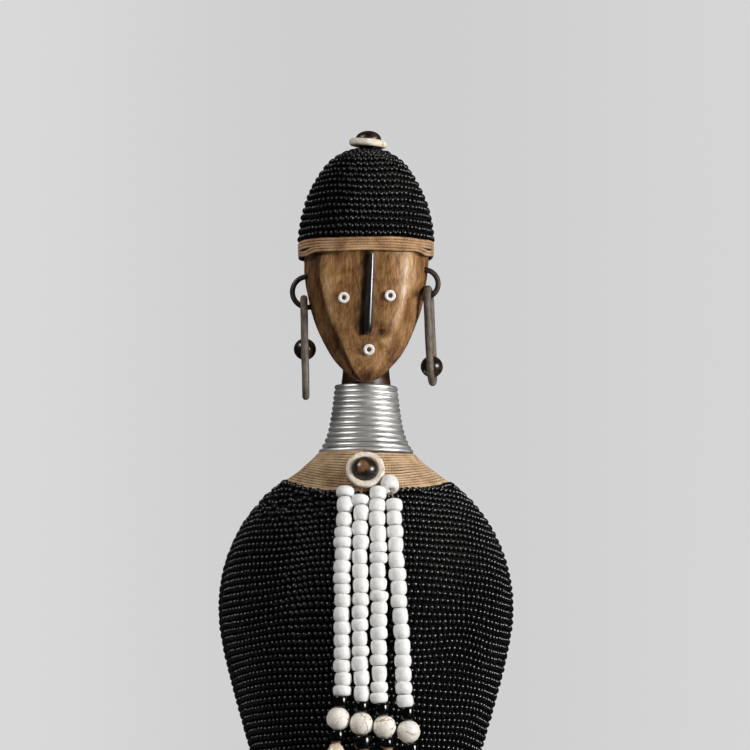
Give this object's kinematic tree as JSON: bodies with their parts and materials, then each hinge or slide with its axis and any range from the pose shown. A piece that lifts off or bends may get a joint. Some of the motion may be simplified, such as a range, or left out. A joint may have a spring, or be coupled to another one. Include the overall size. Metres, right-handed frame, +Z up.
{
  "type": "beaded wooden doll",
  "caption": "Standing carved wooden doll with a beaded cap and body, wire-wound neck, twine collar, ear rings and hanging bead strings.",
  "frame": {"origin": "centre of the foot's flat underside, below the neck's axis", "axes": "+Z up along the figure, -Y the way the face looks, +X to the right as seen from the front"},
  "size_m": [0.1032, 0.0864, 0.2855],
  "materials": {
    "wood": "satin carved grain",
    "black_seed_beads": "gloss",
    "twine": "matt waxed thread",
    "wire": "bright drawn",
    "bone": "matt turned",
    "dark_wood": "polished",
    "horn": "gloss",
    "white_glass": "satin opaque",
    "black_glass": "gloss",
    "howlite": "satin veined",
    "shell": "gloss shell",
    "iron": "dark patinated",
    "grey_metal": "dull drawn"
  },
  "bodies": {
    "root": {"carved_figure": "wood", "beaded_body": "black_seed_beads", "collar_twine": "twine", "neck_wire": "wire", "headband_twine": "twine", "beaded_cap": "black_seed_beads", "cap_ring": "bone", "cap_bead": "dark_wood", "nose_strip": "horn", "eye_bead_left": "white_glass", "eye_bead_right": "white_glass", "mouth_bead": "white_glass", "pendant_ring": "bone", "pendant_bead": "dark_wood", "loose_bead": "white_glass", "ear_hoop_left": "iron", "ear_link_left": "grey_metal", "ear_bead_left": "dark_wood", "ear_hoop_right": "iron", "ear_link_right": "grey_metal", "ear_bead_right": "dark_wood", "white_beads_1": "white_glass", "upper_black_bead_1": "black_glass", "stone_bead_1": "howlite", "lower_black_bead_1": "black_glass", "cowrie_1": "shell", "white_beads_2": "white_glass", "upper_black_bead_2": "black_glass", "stone_bead_2": "howlite", "lower_black_bead_2": "black_glass", "cowrie_2": "shell", "white_beads_3": "white_glass", "upper_black_bead_3": "black_glass", "stone_bead_3": "howlite", "lower_black_bead_3": "black_glass", "cowrie_3": "shell", "white_beads_4": "white_glass", "upper_black_bead_4": "black_glass", "stone_bead_4": "howlite", "lower_black_bead_4": "black_glass", "cowrie_4": "shell"}
  },
  "joints": []
}
